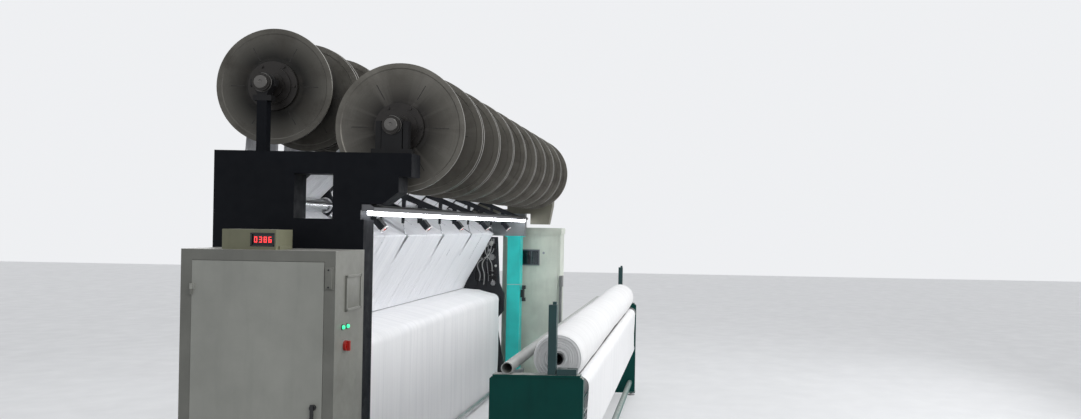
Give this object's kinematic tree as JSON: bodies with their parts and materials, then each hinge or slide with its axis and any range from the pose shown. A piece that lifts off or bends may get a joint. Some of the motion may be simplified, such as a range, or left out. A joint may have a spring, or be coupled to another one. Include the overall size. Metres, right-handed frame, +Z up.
{
  "type": "warp knitting machine",
  "caption": "High-speed warp knitting machine with two overhead rows of sectional warp beams, yarn sheets, knitting bars, fabric web, floor winder and control cabinets.",
  "frame": {"origin": "centre of the footprint, on the floor", "axes": "+X along the machine away from the near cabinet, -Y towards the operator's aisle and the winder, +Z up"},
  "size_m": [5.972, 2.374, 3.177],
  "materials": {
    "machine_bed": "painted teal",
    "end_frames": "satin",
    "near_stand": "satin",
    "far_stand": "satin",
    "far_front_post": "gloss",
    "far_beam_bracket": "satin",
    "arm_traverse": "satin",
    "levelling_feet": "worn",
    "beam_bearings": "oily",
    "beam_drives": "satin",
    "front_beam_shaft": "dark, oiled",
    "front_warp_beams": "dull, handled",
    "front_yarn_windings": "filament yarn",
    "back_beam_shaft": "dark, oiled",
    "back_warp_beams": "dull, handled",
    "back_yarn_windings": "filament yarn",
    "front_guide_roller": "polished",
    "back_guide_roller": "polished",
    "front_tension_rail": "polished",
    "back_tension_rail": "polished",
    "front_yarn_sheet": "filament yarn",
    "back_yarn_sheet": "filament yarn",
    "light_channel": "satin",
    "light_tube": "diffuser",
    "sensor_heads": "satin",
    "guide_hanger": "machined",
    "front_guide_bar": "machined",
    "back_guide_bar": "machined",
    "needle_bar": "machined",
    "slider_bar": "machined",
    "sinker_bar": "machined",
    "trick_plate": "machined",
    "main_shaft": "oiled",
    "main_motor": "painted",
    "motor_pulley": "machined",
    "drive_belt": "matte",
    "pattern_drive": "satin",
    "rear_take_up_roller": "roughened",
    "front_take_up_roller": "roughened",
    "fabric_web": "knitted",
    "machine_idler": "satin",
    "winder_base_idler": "satin",
    "winder_front_idler": "satin",
    "winder_panels": "satin",
    "winder_tie_rails": "satin",
    "winder_rear_tube": "satin",
    "winder_posts": "satin",
    "front_drive_roller": "roughened",
    "rear_drive_roller": "roughened",
    "fabric_roll": "rolled knit",
    "near_cabinet": "satin, dusty",
    "near_cabinet_door": "satin, dusty",
    "near_door_handle": "satin",
    "isolator_switch": "moulded",
    "counter_box": "satin",
    "far_cabinet": "satin",
    "far_cabinet_door": "satin",
    "operator_panel": "satin",
    "junction_box": "satin",
    "handset": "satin"
  },
  "bodies": {
    "frame": {"machine_bed": "machine_bed", "end_frames": "end_frames", "near_stand": "near_stand", "far_stand": "far_stand", "far_front_post": "far_front_post", "far_beam_bracket": "far_beam_bracket", "arm_traverse": "arm_traverse", "levelling_feet": "levelling_feet", "beam_bearings": "beam_bearings", "beam_drives": "beam_drives", "front_yarn_sheet": "front_yarn_sheet", "back_yarn_sheet": "back_yarn_sheet", "light_channel": "light_channel", "light_tube": "light_tube", "sensor_heads": "sensor_heads", "trick_plate": "trick_plate", "main_motor": "main_motor", "drive_belt": "drive_belt", "pattern_drive": "pattern_drive", "fabric_web": "fabric_web", "winder_panels": "winder_panels", "winder_tie_rails": "winder_tie_rails", "winder_rear_tube": "winder_rear_tube", "winder_posts": "winder_posts", "near_cabinet": "near_cabinet", "counter_box": "counter_box", "far_cabinet": "far_cabinet", "junction_box": "junction_box", "handset": "handset"},
    "front_beams": {"front_beam_shaft": "front_beam_shaft", "front_warp_beams": "front_warp_beams", "front_yarn_windings": "front_yarn_windings"},
    "back_beams": {"back_beam_shaft": "back_beam_shaft", "back_warp_beams": "back_warp_beams", "back_yarn_windings": "back_yarn_windings"},
    "front_guide_roller": {"front_guide_roller": "front_guide_roller"},
    "back_guide_roller": {"back_guide_roller": "back_guide_roller"},
    "front_tension_rail": {"front_tension_rail": "front_tension_rail"},
    "back_tension_rail": {"back_tension_rail": "back_tension_rail"},
    "guide_hanger": {"guide_hanger": "guide_hanger"},
    "front_guide_bar": {"front_guide_bar": "front_guide_bar"},
    "back_guide_bar": {"back_guide_bar": "back_guide_bar"},
    "needle_bar": {"needle_bar": "needle_bar"},
    "slider_bar": {"slider_bar": "slider_bar"},
    "sinker_bar": {"sinker_bar": "sinker_bar"},
    "main_shaft": {"main_shaft": "main_shaft"},
    "motor_pulley": {"motor_pulley": "motor_pulley"},
    "rear_take_up_roller": {"rear_take_up_roller": "rear_take_up_roller"},
    "front_take_up_roller": {"front_take_up_roller": "front_take_up_roller"},
    "machine_idler": {"machine_idler": "machine_idler"},
    "winder_base_idler": {"winder_base_idler": "winder_base_idler"},
    "winder_front_idler": {"winder_front_idler": "winder_front_idler"},
    "front_drive_roller": {"front_drive_roller": "front_drive_roller"},
    "rear_drive_roller": {"rear_drive_roller": "rear_drive_roller"},
    "fabric_roll": {"fabric_roll": "fabric_roll"},
    "near_door": {"near_cabinet_door": "near_cabinet_door"},
    "near_handle": {"near_door_handle": "near_door_handle"},
    "isolator": {"isolator_switch": "isolator_switch"},
    "far_door": {"far_cabinet_door": "far_cabinet_door", "operator_panel": "operator_panel"}
  },
  "joints": [
    {"name": "front_beams_spin", "type": "hinge", "parent": "frame", "child": "front_beams", "pos_m": [0, 0.03, 2.57], "axis": [1, 0, 0], "continuous": true},
    {"name": "back_beams_spin", "type": "hinge", "parent": "frame", "child": "back_beams", "pos_m": [0, 0.825, 2.815], "axis": [1, 0, 0], "continuous": true},
    {"name": "front_guide_roller_spin", "type": "hinge", "parent": "frame", "child": "front_guide_roller", "pos_m": [0, 0.7, 2.085], "axis": [1, 0, 0], "continuous": true},
    {"name": "back_guide_roller_spin", "type": "hinge", "parent": "frame", "child": "back_guide_roller", "pos_m": [0, 0.975, 2.06], "axis": [1, 0, 0], "continuous": true},
    {"name": "front_rail_flex", "type": "hinge", "parent": "frame", "child": "front_tension_rail", "pos_m": [0, 0.5015, 1.9716], "axis": [1, 0, 0], "range_deg": [-2.5, 2.5], "stiffness_Nm_per_rad": 2500, "deforming": ["front_yarn_sheet"]},
    {"name": "back_rail_flex", "type": "hinge", "parent": "frame", "child": "back_tension_rail", "pos_m": [0, 0.7275, 1.9596], "axis": [1, 0, 0], "range_deg": [-2.5, 2.5], "stiffness_Nm_per_rad": 2500, "deforming": ["back_yarn_sheet"]},
    {"name": "guide_swing", "type": "hinge", "parent": "frame", "child": "guide_hanger", "pos_m": [0, 1.02, 1.56], "axis": [1, 0, 0], "range_deg": [-2, 2]},
    {"name": "front_bar_shog", "type": "slide", "parent": "guide_hanger", "child": "front_guide_bar", "axis": [1, 0, 0], "range_m": [-0.012, 0.012]},
    {"name": "back_bar_shog", "type": "slide", "parent": "guide_hanger", "child": "back_guide_bar", "axis": [1, 0, 0], "range_m": [-0.012, 0.012]},
    {"name": "needle_lift", "type": "slide", "parent": "frame", "child": "needle_bar", "axis": [0, 0, 1], "range_m": [-0.016, 0]},
    {"name": "slider_lift", "type": "slide", "parent": "frame", "child": "slider_bar", "axis": [0, 0, 1], "range_m": [-0.01, 0]},
    {"name": "sinker_travel", "type": "slide", "parent": "frame", "child": "sinker_bar", "axis": [0, 1, 0], "range_m": [-0.002, 0.01]},
    {"name": "main_shaft_spin", "type": "hinge", "parent": "frame", "child": "main_shaft", "pos_m": [0, 0.98, 0.7], "axis": [1, 0, 0], "continuous": true},
    {"name": "motor_pulley_spin", "type": "hinge", "parent": "frame", "child": "motor_pulley", "pos_m": [0, 0.98, 0.3], "axis": [1, 0, 0], "continuous": true},
    {"name": "rear_take_up_spin", "type": "hinge", "parent": "frame", "child": "rear_take_up_roller", "pos_m": [0, 0.64, 1.16], "axis": [1, 0, 0], "continuous": true},
    {"name": "front_take_up_spin", "type": "hinge", "parent": "frame", "child": "front_take_up_roller", "pos_m": [0, 0.465, 1.11], "axis": [1, 0, 0], "continuous": true},
    {"name": "machine_idler_spin", "type": "hinge", "parent": "frame", "child": "machine_idler", "pos_m": [0, 0.362, 0.12], "axis": [1, 0, 0], "continuous": true},
    {"name": "winder_base_idler_spin", "type": "hinge", "parent": "frame", "child": "winder_base_idler", "pos_m": [0, -0.8, 0.12], "axis": [1, 0, 0], "continuous": true},
    {"name": "winder_front_idler_spin", "type": "hinge", "parent": "frame", "child": "winder_front_idler", "pos_m": [0, -1.148, 0.56], "axis": [1, 0, 0], "continuous": true},
    {"name": "front_drive_roller_spin", "type": "hinge", "parent": "frame", "child": "front_drive_roller", "pos_m": [0, -1.123, 0.973], "axis": [1, 0, 0], "continuous": true},
    {"name": "rear_drive_roller_spin", "type": "hinge", "parent": "frame", "child": "rear_drive_roller", "pos_m": [0, -0.883, 0.973], "axis": [1, 0, 0], "continuous": true},
    {"name": "fabric_roll_spin", "type": "hinge", "parent": "frame", "child": "fabric_roll", "pos_m": [0, -1.003, 1.15775], "axis": [1, 0, 0], "continuous": true},
    {"name": "near_door_hinge", "type": "hinge", "parent": "frame", "child": "near_door", "pos_m": [-2.9667, 0.931, 0.9], "axis": [0, 0, -1], "range_deg": [0, 110]},
    {"name": "near_handle_turn", "type": "hinge", "parent": "near_door", "child": "near_handle", "pos_m": [-2.9597, 0.249, 0.95], "axis": [1, 0, 0], "range_deg": [0, 90]},
    {"name": "isolator_turn", "type": "hinge", "parent": "frame", "child": "isolator", "pos_m": [-2.81, 0.142, 1.273], "axis": [0, -1, 0], "range_deg": [0, 90]},
    {"name": "far_door_hinge", "type": "hinge", "parent": "frame", "child": "far_door", "pos_m": [2.679, 0.253, 0.9], "axis": [0, 0, -1], "range_deg": [0, 45]}
  ],
  "couplings": [
    {"joint": "motor_pulley_spin", "follows": "main_shaft_spin", "ratio": 2.25},
    {"joint": "slider_lift", "follows": "needle_lift", "ratio": 0.5},
    {"joint": "rear_take_up_spin", "follows": "front_take_up_spin", "ratio": 1.1077},
    {"joint": "front_drive_roller_spin", "follows": "fabric_roll_spin", "ratio": -2.6667},
    {"joint": "rear_drive_roller_spin", "follows": "fabric_roll_spin", "ratio": -2.6667}
  ]
}
